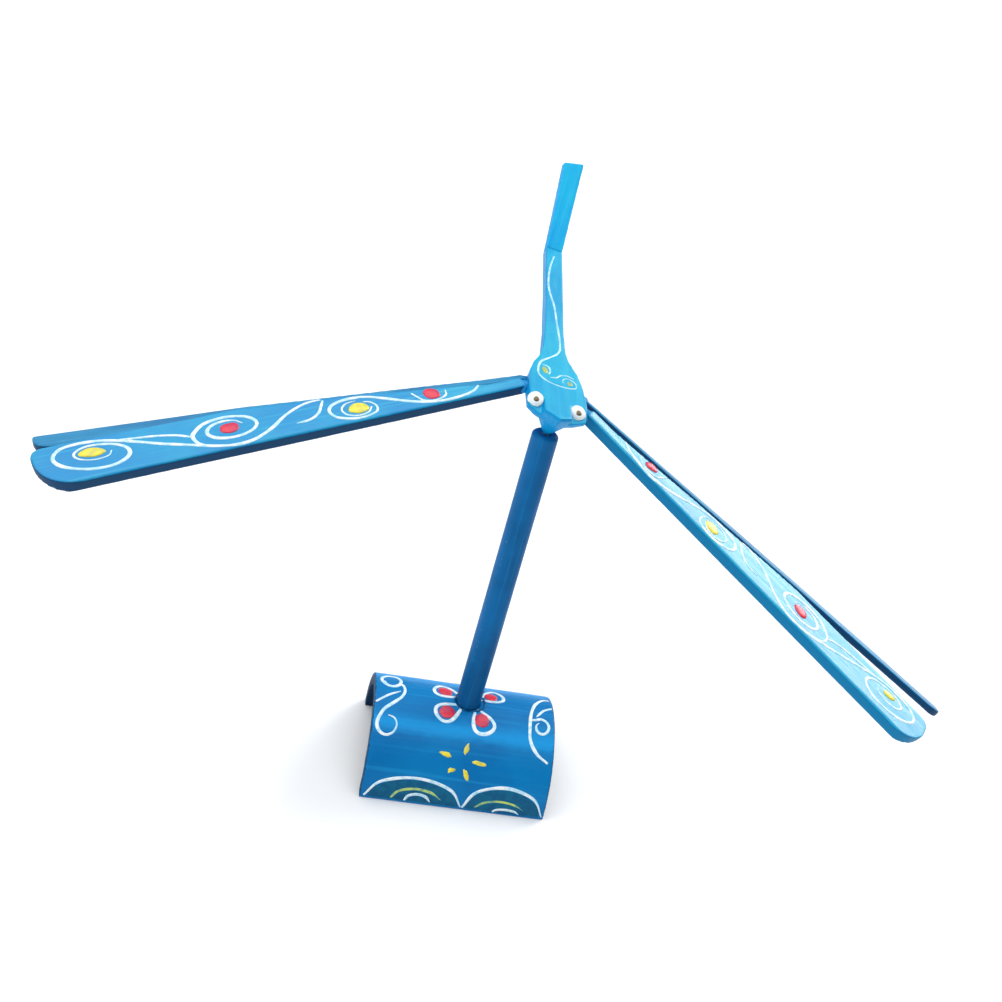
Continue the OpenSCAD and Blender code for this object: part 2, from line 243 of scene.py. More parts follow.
def painted_bamboo(name, colour, deep, light, painted_shade_sides=None, grain="X", gloss=0.36, painted_shade_mask=None,
                   painted_highlight=None, sheen=0.12, seed=0.0):
    """Brushed enamel on bamboo: cloudy cover, streaks and fine fibres along the grain, thin worn edges.

    deep and light are the patches and streaks in the colour; the colour given for faces that don't look up
    is painted shade, the next one a painted highlight on a band of the rounded upper face, and the mask
    says where dark paint stands in for shade.
    """
    material, tree, shader = new_material(name)
    cloud = noise_node(tree, (0.05, 0.05, 0.05), detail=3, seed=seed)
    streak = noise_node(tree, along(grain, 0.02, 0.9), detail=5, rough=0.6, distortion=0.4, seed=seed + 3)
    fibre = noise_node(tree, along(grain, 0.05, 5.0), detail=3, rough=0.6, seed=seed + 5)
    speck = noise_node(tree, (1.6, 1.6, 1.6), detail=4, rough=0.7, seed=seed + 9)
    mix = blend_colours(tree, span(tree, cloud, 0.32, 0.68), deep, colour)
    mix = blend_colours(tree, span(tree, streak, 0.50, 0.74, 0.0, 0.55), mix, light)
    mix = blend_colours(tree, span(tree, fibre, 0.60, 0.78, 0.0, 0.30), mix, deep)
    shader.inputs["Specular IOR Level"].default_value = sheen
    # Painted shade: faces that don't look up take the darker side colour, with a ragged edge and less
    # specular
    if painted_shade_sides is not None:
        ragged = math_node(tree, "ADD", facing_up(tree), math_node(tree, "MULTIPLY", speck, 0.2))
        mix = blend_colours(tree, span(tree, ragged, 0.45, 0.85, 1.0, 0.0), mix, painted_shade_sides)
        tree.links.new(span(tree, ragged, 0.75, 1.0, 0.1, sheen), shader.inputs["Specular IOR Level"])
    # Painted highlight: lighter paint on a band that faces about 30 degrees from straight up
    if painted_highlight is not None:
        slope = math_node(tree, "ABSOLUTE", math_node(tree, "SUBTRACT", facing_up(tree), PAINTED_HIGHLIGHT_FACING))
        mix = blend_colours(tree, span(tree, slope, 0.0, 0.10, 0.75, 0.0), mix, painted_highlight)
    bare = blend_colours(tree, span(tree, fibre, 0.42, 0.62), BARE_DARK, BARE)
    shape = tree.nodes.new("ShaderNodeNewGeometry")
    edge = span(tree, shape.outputs["Pointiness"], 0.53, 0.60)
    chipped = math_node(tree, "MULTIPLY", edge, span(tree, speck, 0.46, 0.60))
    worn = math_node(tree, "MULTIPLY", chipped, WEAR)
    mix = blend_colours(tree, math_node(tree, "MULTIPLY", edge, EDGE_LIGHT), mix, light)
    mix = blend_colours(tree, worn, mix, bare)
    rough = span(tree, streak, 0.3, 0.7, gloss, gloss + 0.16)
    # Painted shade: dark paint where the mask says, with a rougher finish
    if painted_shade_mask is not None:
        mask = painted_shade_mask(tree, speck)
        dark = blend_colours(tree, span(tree, fibre, 0.35, 0.65), DARK_BLUE, DARKEST)
        mix = blend_colours(tree, mask, mix, dark)
        rough = math_node(tree, "ADD", rough, math_node(tree, "MULTIPLY", mask, 0.2))
    tree.links.new(mix, shader.inputs["Base Color"])
    tree.links.new(rough, shader.inputs["Roughness"])
    normal = bump(tree, fibre, 0.35, 0.05)
    normal = bump(tree, streak, 0.45, 0.22, normal)
    normal = bump(tree, speck, 0.25, 0.05, normal)
    tree.links.new(normal, shader.inputs["Normal"])
    shader.inputs["Coat Weight"].default_value = 0.02
    shader.inputs["Coat Roughness"].default_value = 0.25
    return material


def enamel(name, colour, thin, seed=0.0, gloss=0.25, sheen=0.4):
    """Thick brush paint: streaky where it is thin, with a soft wet sheen."""
    material, tree, shader = new_material(name)
    cover = noise_node(tree, (0.5, 0.5, 0.5), detail=4, rough=0.6, distortion=0.6, seed=seed)
    grit = noise_node(tree, (3.0, 3.0, 3.0), detail=3, seed=seed + 4)
    mix = blend_colours(tree, span(tree, cover, 0.36, 0.62), thin, colour)
    tree.links.new(mix, shader.inputs["Base Color"])
    tree.links.new(span(tree, grit, 0.3, 0.7, gloss, gloss + 0.2), shader.inputs["Roughness"])
    normal = bump(tree, cover, 0.5, 0.12)
    tree.links.new(bump(tree, grit, 0.3, 0.03, normal), shader.inputs["Normal"])
    shader.inputs["Specular IOR Level"].default_value = sheen
    shader.inputs["Coat Weight"].default_value = sheen / 2
    shader.inputs["Coat Roughness"].default_value = 0.15
    return material


def stand_painted_shade_mask(tree, speck):
    """Painted shade on the inner wall under the arch, and dark paint on the sawn ends that also stands in
    for their shade, with a ragged edge.
    """
    half_length = BASE_LENGTH / 2
    x, y, z = (math_node(tree, "DIVIDE", part_axis(tree, a), MM) for a in "XYZ")
    radius = math_node(tree, "SQRT", math_node(tree, "ADD", math_node(tree, "POWER", y, 2.0),
                                               math_node(tree, "POWER", z, 2.0)))
    ragged = math_node(tree, "MULTIPLY", math_node(tree, "SUBTRACT", speck, 0.5), 1.2)
    inside = span(tree, math_node(tree, "ADD", radius, ragged),
                  BASE_RADIUS - 0.9, BASE_RADIUS - 0.4, 1.0, 0.0)
    end = span(tree, math_node(tree, "ADD", math_node(tree, "ABSOLUTE", x), ragged),
               half_length - 0.35, half_length - 0.15, 0.0, 0.8)
    return math_node(tree, "MAXIMUM", inside, end)


# Painted shade for the faces of the left forewing and the hindwings that don't look up
SHADE_NAVY = (0.006, 0.052, 0.135)
# Each coat on bamboo has its main colour, the colour of its deeper patches and that of its streaks
# The colour for faces that don't look up is painted shade
BODY_PAINT = painted_bamboo("body_paint", (0.008, 0.41, 0.64), (0.003, 0.32, 0.60), (0.035, 0.50, 0.70),
                            painted_shade_sides=(0.002, 0.26, 0.58), grain="Y", gloss=0.34, sheen=0.32)
# The tail's rear piece is painted lighter than the body: painted light standing in for the glare on its
# steep face
TAIL_PAINT_WITH_PAINTED_LIGHT = painted_bamboo("tail_paint_with_painted_light", (0.008, 0.52, 0.86), (0.002, 0.40, 0.86), (0.05, 0.64, 0.88),
                            painted_shade_sides=(0.002, 0.30, 0.66), grain="Y", gloss=0.34, sheen=0.3, seed=5)
ROOT_PAINT = painted_bamboo("root_paint", (0.006, 0.26, 0.60), (0.004, 0.20, 0.52), (0.05, 0.40, 0.68),
                            grain="Y", seed=7)
# The right forewing's paint, and its painted shade on faces that don't look up, are lighter than the left
# one's: a painted reflection of the lamp at the back right
WING_PAINT = {"right": painted_bamboo("right_wing_paint_with_painted_reflection", (0.022, 0.40, 0.61), (0.008, 0.32, 0.56),
                                      (0.13, 0.53, 0.70), painted_shade_sides=(0.003, 0.175, 0.37), gloss=0.30, sheen=0.7,
                                      seed=11),
              "left": painted_bamboo("left_wing_paint", (0.012, 0.35, 0.60), (0.005, 0.25, 0.56),
                                     (0.07, 0.48, 0.66), painted_shade_sides=SHADE_NAVY, gloss=0.34, sheen=0.4, seed=11)}
HIND_PAINT = painted_bamboo("hindwing_paint", (0.012, 0.26, 0.50), (0.006, 0.17, 0.38), (0.07, 0.38, 0.60),
                            painted_shade_sides=SHADE_NAVY, sheen=0.4, seed=17)
# The stand's coat has painted shade on its inner wall and ends, and a band of painted highlight on its upper
# face
STAND_PAINT = painted_bamboo("stand_paint", (0.001, 0.200, 0.50), (0.001, 0.155, 0.43), (0.01, 0.29, 0.62),
                             painted_shade_mask=stand_painted_shade_mask, painted_highlight=(0.006, 0.33, 0.76), sheen=0.12, seed=23)
POST_PAINT = painted_bamboo("post_paint", (0.002, 0.130, 0.36), (0.001, 0.080, 0.23), (0.010, 0.20, 0.46),
                            grain="Z", sheen=0.08, seed=31)
# Each brush paint has its full colour and the colour where it is thin
TIP_COAT = enamel("tip_coat", (0.01, 0.30, 0.70), (0.01, 0.20, 0.55))
NIB_WOOD = enamel("nib_wood", BARE_DARK, DARKEST, gloss=0.5, sheen=0.1)
WHITE = enamel("white_paint", (0.86, 0.93, 0.95), (0.42, 0.74, 0.90), seed=2)
PALE_CYAN = enamel("pale_cyan_paint", (0.60, 0.84, 0.93), (0.25, 0.62, 0.84), seed=3)
EYE_WHITE = enamel("eye_white", (0.90, 0.91, 0.86), (0.72, 0.82, 0.84), seed=5)
RED = enamel("red_paint", (0.78, 0.022, 0.050), (0.55, 0.03, 0.09), seed=8)
YELLOW = enamel("yellow_paint", (0.90, 0.74, 0.04), (0.62, 0.58, 0.10), seed=13)
OLIVE = enamel("olive_paint", (0.46, 0.50, 0.10), (0.20, 0.42, 0.34), seed=19)
LIME = enamel("lime_paint", (0.50, 0.66, 0.14), (0.10, 0.34, 0.26), seed=21)
TEAL = enamel("teal_wash", (0.008, 0.100, 0.22), (0.008, 0.135, 0.25), seed=27, gloss=0.45, sheen=0.06)
PUPIL = enamel("pupil_brown", (0.055, 0.035, 0.018), (0.16, 0.11, 0.03), seed=29)

# ---------------------------------------------------------------- carving the bamboo parts

def add_object(name, mesh, place, body, material):
    """Links a mesh made in a part's own frame and lets it ride on a body."""
    for face in mesh.polygons:
        face.use_smooth = True
    mesh.materials.clear()
    mesh.materials.append(material)
    piece = bpy.data.objects.new(name, mesh)
    piece.matrix_world = place
    bpy.context.scene.collection.objects.link(piece)
    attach(piece, body)
    return piece


# Frequency of the knife facets along X, Y and Z, per millimetre, by the direction of the grain
FACETS = {"X": (0.05, 0.16, 0.16), "Y": (0.16, 0.05, 0.16), "Z": (0.30, 0.30, 0.05)}
# Frequency of the small dents, and their depth as a share of the facets' depth
DENTS = 0.55
DENT_DEPTH = 0.25


def uneven(points, normals, grain, amount, seed):
    """Moves points in millimetres by long shallow knife facets and small dents."""
    fx, fy, fz = FACETS[grain]
    for i, p in enumerate(points):
        facet = noise.noise(Vector((p[0] * fx + seed, p[1] * fy, p[2] * fz)))
        dent = noise.noise(Vector((p[0] * DENTS, p[1] * DENTS + seed, p[2] * DENTS)))
        points[i] += normals[i] * amount * (facet + DENT_DEPTH * dent)


def carve(node, place, body, material, voxel, soften, amount, grain="X", seed=0.0):
    """A hand-carved version of a CAD solid: evenly meshed, its edges rounded and its faces uneven.

    voxel is the mesh size and amount the depth of the unevenness in millimetres; soften is how many
    rounds of smoothing the edges get.
    """
    rough = frame["nodes"][node].data.copy()
    rough.transform(Matrix.Scale(1 / MM, 4) @ place.inverted())
    block = bpy.data.objects.new(node + "_block", rough)
    bpy.context.scene.collection.objects.link(block)
    remesh = block.modifiers.new("even", "REMESH")
    remesh.mode = "VOXEL"
    remesh.voxel_size = voxel
    smooth = block.modifiers.new("soften", "SMOOTH")
    smooth.factor = 0.5
    smooth.iterations = soften
    done = block.evaluated_get(bpy.context.evaluated_depsgraph_get())
    mesh = bpy.data.meshes.new_from_object(done)
    bpy.data.objects.remove(block)
    points = np.empty(len(mesh.vertices) * 3)
    mesh.vertices.foreach_get("co", points)
    points = points.reshape(-1, 3)
    normals = np.array([v.normal for v in mesh.vertices])
    uneven(points, normals, grain, amount, seed)
    if node == "base":
        # The stand's feet stay on the table
        points[:, 2] = np.maximum(points[:, 2], 0.0)
    mesh.vertices.foreach_set("co", (points * MM).ravel())
    mesh.update()
    piece = add_object(node + "_carved", mesh, place, body, material)
    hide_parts(node)
    return piece


# ---------------------------------------------------------------- paint that follows a carved surface

class Face:
    """A carved part's painted face: design coordinates (u, v) in millimetres to points on the surface."""

    def __init__(self, piece, body, ray):
        self.tree = BVHTree.FromPolygons([v.co for v in piece.data.vertices],
                                         [tuple(p.vertices) for p in piece.data.polygons])
        self.place = piece.matrix_world.copy()
        self.body = body
        self.ray = ray

    def at(self, u, v, height):
        """The point that lies height millimetres over (u, v) of the painted face."""
        start, direction = self.ray(u, v)
        hit, normal, _, _ = self.tree.ray_cast(start * MM, direction)
        if hit is None:
            hit, normal, _, _ = self.tree.find_nearest(start * MM)
        if normal.dot(direction) > 0:
            normal = -normal
        blended = (normal * 0.5 - direction * 0.5).normalized()
        return hit + blended * height * MM


# Each ray gives a starting point outside the part, in millimetres, and the direction to the face
DOWN = Vector((0, 0, -1))
START_CLEAR = 5.0
START_HIGH = 40.0
# Length of the right forewing's pattern as a share of the left one's
RIGHT_WING_REACH = 0.983


def wing_ray(side):
    """u runs along the blade and v back from its front edge; the right blade is a little shorter."""
    sign, reach = (1, RIGHT_WING_REACH) if side == "right" else (-1, 1.0)
    return lambda u, v: (Vector((u * reach, sign * v, START_CLEAR)), DOWN)


def base_ray(u, v):
    """u runs along the half tube and v up over its outer arc from the front edge."""
    angle = v / BASE_RADIUS
    outward = Vector((0, -math.cos(angle), math.sin(angle)))
    return outward * (BASE_RADIUS + START_CLEAR) + Vector((u, 0, 0)), -outward


def base_back_ray(u, v):
    """The same pattern carried over the crest to the back half."""
    return base_ray(-u, 2 * CREST - v)


def body_ray(u, v):
    """u and v are X and Y from the balance point."""
    return Vector((u, v, START_HIGH)), DOWN


# Degrees from one point of a spiral to the next
CURL_STEP = 40


def curl(centre, start_radii, end_radii, start, end):
    """Points of a spiral about a centre, from one pair of radii and angle to another, in degrees."""
    count = max(4, int(abs(end - start) / CURL_STEP))
    points = []
    for i in range(count + 1):
        t = i / count
        a = math.radians(start + (end - start) * t)
        rx = start_radii[0] + (end_radii[0] - start_radii[0]) * t
        ry = start_radii[1] + (end_radii[1] - start_radii[1]) * t
        points.append((centre[0] + rx * math.cos(a), centre[1] + ry * math.sin(a)))
    return points


# Distance between the cross-sections of a brush stroke
STROKE_STEP = 0.35
# How fast a stroke swells and thins, and how uneven its width and its line are
SWELL_RATE = 7
THIN_RATE = 5
WIDTH_CHANGE = 0.28
LINE_CHANGE = 0.12
# Cross-section of a stroke: shares of its half width and of its height
STROKE_SECTION = ((-1, -0.4), (-0.88, 0.3), (-0.5, 0.82), (0, 1), (0.5, 0.82), (0.88, 0.3), (1, -0.4))
# Rings of a dab: shares of its radii and of its height
DAB_LEVELS = ((1.0, -0.35), (0.95, 0.35), (0.8, 0.75), (0.5, 0.92), (0.22, 1.0))


def flowing(points):
    """A smooth curve through the points, sampled evenly."""
    p = [Vector(q) for q in points]
    p = [p[0] * 2 - p[1]] + p + [p[-1] * 2 - p[-2]]
    fine = []
    for a, b, c, d in zip(p, p[1:], p[2:], p[3:]):
        for i in range(16):
            t = i / 16
            fine.append(0.5 * ((2 * b) + (c - a) * t + (2 * a - 5 * b + 4 * c - d) * t * t
                               + (3 * b - a - 3 * c + d) * t ** 3))
    fine.append(p[-2])
    lengths = np.cumsum([0.0] + [(b - a).length for a, b in zip(fine, fine[1:])])
    wanted = np.linspace(0, lengths[-1], max(4, int(lengths[-1] / STROKE_STEP)))
    xs = np.interp(wanted, lengths, [q.x for q in fine])
    ys = np.interp(wanted, lengths, [q.y for q in fine])
    return [Vector(q) for q in zip(xs, ys)]


def join_rings(bm, rings):
    """Faces between each closed ring of points and the next one."""
    for a, b in zip(rings, rings[1:]):
        for k in range(len(a)):
            n = (k + 1) % len(a)
            bm.faces.new((a[k], a[n], b[n], b[k]))


def stroke(bm, face, points, width=0.85, height=0.16, start=0.75, end=0.35):
    """One brush stroke: a rounded ribbon that swells and thins as the brush is pressed and lifted.

    start and end are the shares of the width with which the stroke begins and ends.
    """
    line = flowing(points)
    shift = random.uniform(0, 50)
    rings = []
    for i, p in enumerate(line):
        along_line = (line[min(i + 1, len(line) - 1)] - line[max(i - 1, 0)]).normalized()
        side = Vector((-along_line.y, along_line.x))
        t = i / (len(line) - 1)
        taper = min(1.0, start + (1 - start) * t * SWELL_RATE, end + (1 - end) * (1 - t) * THIN_RATE)
        half = width / 2 * taper * (1 + WIDTH_CHANGE * noise.noise(Vector((i * 0.09, shift, 0))))
        wobble = side * LINE_CHANGE * noise.noise(Vector((i * 0.05, shift, 9)))
        ring = []
        for across, up in STROKE_SECTION:
            q = p + wobble + side * half * across
            ring.append(bm.verts.new(face.at(q.x, q.y, up * height * (0.5 + 0.5 * taper))))
        rings.append(ring)
    join_rings(bm, rings)
    bm.faces.new(rings[0])
    bm.faces.new(reversed(rings[-1]))


def dab(bm, face, centre, radii, tilt, height=0.3, ragged=0.08):
    """One press of the brush: a domed blob with an uneven outline."""
    count = 36
    shift = random.uniform(0, 50)
    turn_by = math.radians(tilt)
    rings = []
    for share, up in DAB_LEVELS:
        ring = []
        for k in range(count):
            a = 2 * math.pi * k / count
            r = 1 + ragged * 2 * noise.noise(Vector((math.cos(a) * 1.2 + shift, math.sin(a) * 1.2, 0)))
            x = radii[0] * share * r * math.cos(a)
            y = radii[1] * share * r * math.sin(a)
            u = centre[0] + x * math.cos(turn_by) - y * math.sin(turn_by)
            v = centre[1] + x * math.sin(turn_by) + y * math.cos(turn_by)
            ring.append(bm.verts.new(face.at(u, v, up * height)))
        rings.append(ring)
    join_rings(bm, rings)
    top = bm.verts.new(face.at(*centre, height))
    low = bm.verts.new(face.at(*centre, DAB_LEVELS[0][1] * height))
    for k in range(count):
        n = (k + 1) % count
        bm.faces.new((rings[-1][k], rings[-1][n], top))
        bm.faces.new((rings[0][n], rings[0][k], low))


def dabs(bm, face, spots, **brush):
    """Dabs of one colour, each given by its centre, radii and tilt."""
    for spot in spots:
        dab(bm, face, *spot, **brush)


def half_oval(bm, face, centre, radii, height, turns):
    """Points on the upper half of an oval, from +u round to -u."""
    points = []
    for k in range(turns + 1):
        angle = math.pi * k / turns
        u = centre[0] + radii[0] * math.cos(angle)
        v = centre[1] + radii[1] * math.sin(angle)
        points.append(bm.verts.new(face.at(u, v, height)))
    return points


def wash(bm, face, centre, radii, height=0.05):
    """A thin half-oval wash of paint above a centre on the lower edge, closed by a sunken sheet."""
    turns, levels = 32, 10
    top, low = [], []
    for i in range(levels + 1):
        share = i / levels
        reach = (radii[0] * share, radii[1] * share)
        top.append(half_oval(bm, face, centre, reach, height if i < levels else -height, turns))
        low.append(half_oval(bm, face, centre, reach, -height, turns))
    for sheet, order in ((top, 1), (low, -1)):
        for a, b in zip(sheet, sheet[1:]):
            for k in range(turns):
                bm.faces.new((a[k], b[k], b[k + 1], a[k + 1])[::order])
    bmesh.ops.remove_doubles(bm, verts=bm.verts, dist=1e-6)


def finished(bm, name):
    """The drawn faces as a mesh, all of them looking outward."""
    bmesh.ops.recalc_face_normals(bm, faces=bm.faces)
    mesh = bpy.data.meshes.new(name)
    bm.to_mesh(mesh)
    bm.free()
    return mesh


def paint(name, face, material, draw):
    """One colour of paint on one part, as one piece."""
    bm = bmesh.new()
    draw(bm)
    add_object(name, finished(bm, name), face.place, face.body, material)


# ---------------------------------------------------------------- the bamboo parts

base = carve("base", BASE, "stand", STAND_PAINT,
             voxel=0.35, soften=6, amount=0.10, seed=1)
carve("post", POST, "stand", POST_PAINT,
      voxel=0.22, soften=4, amount=0.07, grain="Z", seed=2)
body = carve("body", REST, "dragonfly", BODY_PAINT,
             voxel=0.22, soften=6, amount=0.09, grain="Y", seed=3)
carve("tail_rear", REAR, "dragonfly", TAIL_PAINT_WITH_PAINTED_LIGHT,
      voxel=0.22, soften=6, amount=0.09, grain="Y", seed=4)
forewings = {}
for index, side in enumerate(("right", "left")):
    forewings[side] = carve("forewing_" + side, wing_frame(side, FORE_ROOT[side], FORE_ANGLES[side]),
                            "dragonfly", WING_PAINT[side],
                            voxel=0.24, soften=4, amount=0.10, seed=5 + index)
    carve("hindwing_" + side, wing_frame(side, HIND_ROOT, HIND_ANGLES[side]),
          "dragonfly", HIND_PAINT,
          voxel=0.24, soften=4, amount=0.08, seed=8 + index)

for node, material in (("tip_varnish", TIP_COAT), ("tip_paint", TIP_COAT), ("nib", NIB_WOOD)):
    frame["nodes"][node].data.materials.clear()
    frame["nodes"][node].data.materials.append(material)

# ---------------------------------------------------------------- decoration of the forewings

def forewing_lines(bm, face, cup):
    """White lines on one forewing; cup is how far out its first red dab lies."""
    # From the root along the front edge, up and once round the first yellow dab
    stroke(bm, face, [(10.8, 3.1), (13, 1.6), (17, 0.8), (22, 0.8), (27, 2.2), (33, 5.2), (37.5, 7),
                      (42, 7.3), (45.3, 6.4), (46.5, 4.6), (45.6, 2.5), (42.5, 1.1), (39.3, 0.9),
                      (36.6, 1.7), (35.8, 3.4), (36.6, 5), (38.2, 5.7)])
    stroke(bm, face, curl((40.4, 4.0), (3.4, 2.4), (3.3, 2.3), -170, 100), width=0.5)
    # Cup round the first red dab
    stroke(bm, face, [(cup + 4.4, 5.0)] + curl((cup, 3.6), (3.6, 2.3), (3.6, 2.2), 0, -190), width=0.6)
    # Small hook behind the yellow dab
    stroke(bm, face, [(46.6, 8.4), (47.6, 6.8), (49, 4.8), (51.5, 3.4), (54.5, 3.2)], width=0.75)
    # Long line to the tip, nearly twice round the second yellow dab
    stroke(bm, face, [(46.9, 8.9), (49.5, 8.8), (52.5, 8.0), (56, 6.2), (60.5, 3), (65, 1), (70, 0.9),
                      (75, 2.4), (82, 5.3), (88, 8.0), (93, 9.8), (97.5, 10.4), (101.6, 9.8),
                      (103.6, 7.8), (103, 5.6), (100.4, 3.7), (96.6, 2.5), (92.4, 2.6), (89.6, 4.2),
                      (89.2, 6.3), (91.2, 8.1), (94.6, 9.0), (97.6, 8.9), (99.6, 7.6), (99, 6.0),
                      (96.4, 5.0), (93.4, 5.3), (92.4, 6.6)])
    # Second strand, and the spiral round the second red dab
    stroke(bm, face, [(73, 1.5), (75.4, 3), (76.2, 5)] + curl((68.4, 6.0), (7.4, 3.8), (3.4, 2.2), 10, 520))
    stroke(bm, face, [(76.2, 5.6), (79, 7.0), (83, 8.1), (87, 8.7), (91, 9.4)], width=0.7)


# Centre, radii and tilt of each dab
RED_DABS = {"right": (((19.2, 3.5), (1.8, 1.3), 15), ((67.6, 5.8), (2.0, 1.5), -10)),
            "left": (((22.4, 3.6), (2.0, 1.8), 20), ((68.2, 6.0), (2.2, 1.6), -10))}
YELLOW_DABS = {"right": (((39.2, 3.7), (2.2, 1.6), 0), ((95.8, 7.6), (1.9, 0.9), 8)),
               "left": (((40.0, 3.9), (2.4, 1.7), 0), ((96.0, 7.1), (2.7, 1.3), 6))}

for side in ("right", "left"):
    face = Face(forewings[side], "dragonfly", wing_ray(side))
    (cup, _), _, _ = RED_DABS[side][0]
    paint("white_lines_forewing_" + side, face, WHITE,
          lambda bm: forewing_lines(bm, face, cup))
    paint("red_dabs_forewing_" + side, face, RED,
          lambda bm: dabs(bm, face, RED_DABS[side]))
    paint("yellow_dabs_forewing_" + side, face, YELLOW,
          lambda bm: dabs(bm, face, YELLOW_DABS[side]))

# ---------------------------------------------------------------- decoration of the body

body_face = Face(body, "dragonfly", body_ray)


def body_lines(bm):
    """A line along the tail that curls up on the thorax, and two short strokes beside it."""
    stroke(bm, body_face, [(-0.2, 74.5), (-1.2, 69), (-1.8, 62), (-1.5, 55), (-0.2, 48), (0.4, 41),
                           (1.1, 34), (1.4, 28.5), (0.6, 25.3), (-1.6, 22), (-3.8, 18.8), (-4.6, 15),
                           (-4.4, 12), (-2.6, 9.8), (0.2, 9), (2.8, 9.4)]
           + curl((3.2, 12.1), (1.9, 2.3), (1.7, 2.0), -50, 200), width=0.62, height=0.12)
    for points in ([(-1.6, 12.2), (0.0, 13.0), (1.0, 14.6), (2.8, 15.6), (4.6, 15.2)],
                   [(-3.4, 17.4), (-2.0, 17.2), (-1.6, 15.4), (-2.0, 13.4)]):
        stroke(bm, body_face, points, width=0.5, height=0.1)


OLIVE_DABS = (((-2.9, 15), (0.7, 1.5), 10), ((3.4, 12), (0.7, 1.2), -10))

paint("white_line_body", body_face, PALE_CYAN, body_lines)
paint("olive_dabs_body", body_face, OLIVE,
      lambda bm: dabs(bm, body_face, OLIVE_DABS, height=0.2))

# ---------------------------------------------------------------- eyes

# Rings of a drop: shares of its radii, and heights in millimetres
EYE_LEVELS = ((0.55, -0.5), (1.0, -0.25), (1.06, 0.15), (1.0, 0.45), (0.84, 0.7), (0.55, 0.88), (0.25, 0.95))
PUPIL_LEVELS = ((0.6, 0.6), (0.95, 0.66), (1.0, 0.84), (0.85, 0.96), (0.5, 1.02))
PUPIL_RADII = (0.74, 0.78)
# Each pupil sits a little in front of the middle of its eye
PUPIL_MIDDLE = (0.0, -0.5)


def blob(name, place, body, material, radii, levels, ragged, middle=(0.0, 0.0)):
    """A thick drop of paint or glue that stands on the XY plane of a frame, with an uneven outline."""
    bm = bmesh.new()
    count = 40
    shift = random.uniform(0, 50)
    rings = []
    for share, up in levels:
        ring = []
        for k in range(count):
            a = 2 * math.pi * k / count
            lump = noise.noise(Vector((math.cos(a) * 1.3 + shift, math.sin(a) * 1.3, up * 0.4)))
            r = share * (1 + ragged * lump)
            x = middle[0] + radii[0] * r * math.cos(a)
            y = middle[1] + radii[1] * r * math.sin(a)
            ring.append(bm.verts.new(Vector((x, y, up)) * MM))
        rings.append(ring)
    join_rings(bm, rings)
    for ring, up in ((rings[0], levels[0][1]), (rings[-1], levels[-1][1] + 0.02)):
        tip = bm.verts.new(Vector((*middle, up)) * MM)
        for k in range(count):
            bm.faces.new((ring[k], ring[(k + 1) % count], tip))
    return add_object(name, finished(bm, name), place, body, material)


for side in ("right", "left"):
    white = blob("eye_" + side + "_painted", eye_frame(side), "dragonfly", EYE_WHITE,
                 (EYE_RADIUS, EYE_RADIUS), EYE_LEVELS, ragged=0.12)
    dark = blob("pupil_" + side + "_painted", eye_frame(side), "dragonfly", PUPIL,
                PUPIL_RADII, PUPIL_LEVELS, ragged=0.15, middle=PUPIL_MIDDLE)
    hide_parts("eye_" + side)
    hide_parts("pupil_" + side)

# ---------------------------------------------------------------- glue at the wings' roots

GLUE_LEVELS = ((0.75, -1.0), (0.98, -0.5), (1.0, 0.2), (0.9, 0.8), (0.62, 1.25), (0.25, 1.5))

for side, sign in (("right", 1), ("left", -1)):
    # Root of the wing, depth of the glue's middle below it, and half length and half height of the glue
    for wing, root, drop, length, height in (("fore", FORE_ROOT[side], 1.25, 1.75, 1.5),
                                             ("hind", HIND_ROOT, 1.0, 1.2, 0.8)):
        middle = move(sign * (root[0] + 0.1), root[1] + length * 0.9, root[2] - drop)
        blob("glue_" + wing + "wing_" + side, REST @ middle @ turn("Y", sign * 90), "dragonfly",
             ROOT_PAINT, (height, length), GLUE_LEVELS, ragged=0.12)

# ---------------------------------------------------------------- decoration of the stand

base_face = Face(base, "stand", base_ray)
base_back = Face(base, "stand", base_back_ray)
# Petals round the post: direction in degrees, distance of the middle, half length, half width, and
# distance of the red dab
PETALS = ((215.4, 7.1, 3.8, 2.9, 8.0), (-66.6, 6.3, 3.8, 3.0, 6.3), (157.6, 6.8, 3.6, 2.7, 7.5),
          (31.6, 6.0, 3.3, 2.8, 5.9))
# Middle, radii and tilt of the yellow dashes
DASHES = (((-4.2, 14.1), (1.5, 0.6), -12), ((0.9, 15.9), (1.4, 0.6), 75), ((4.6, 12.9), (1.8, 0.6), -8),
          ((1.7, 9.7), (1.5, 0.6), -68), ((-2.2, 10.4), (1.0, 0.6), 28))


def petal_outline(angle, distance, length, width):
    """A drop whose point is towards the post's foot."""
    points = []
    a = math.radians(angle)
    for k in range(-10, 11):
        t = math.pi * k / 10
        r = distance + length * math.cos(t)
        side = width * math.sin(t) * (0.6 + 0.4 * math.cos(t)) * 1.3
        u = POST_SHIFT + r * math.cos(a) - side * math.sin(a)
        v = CREST + r * math.sin(a) + side * math.cos(a)
        points.append((u, v))
    return points


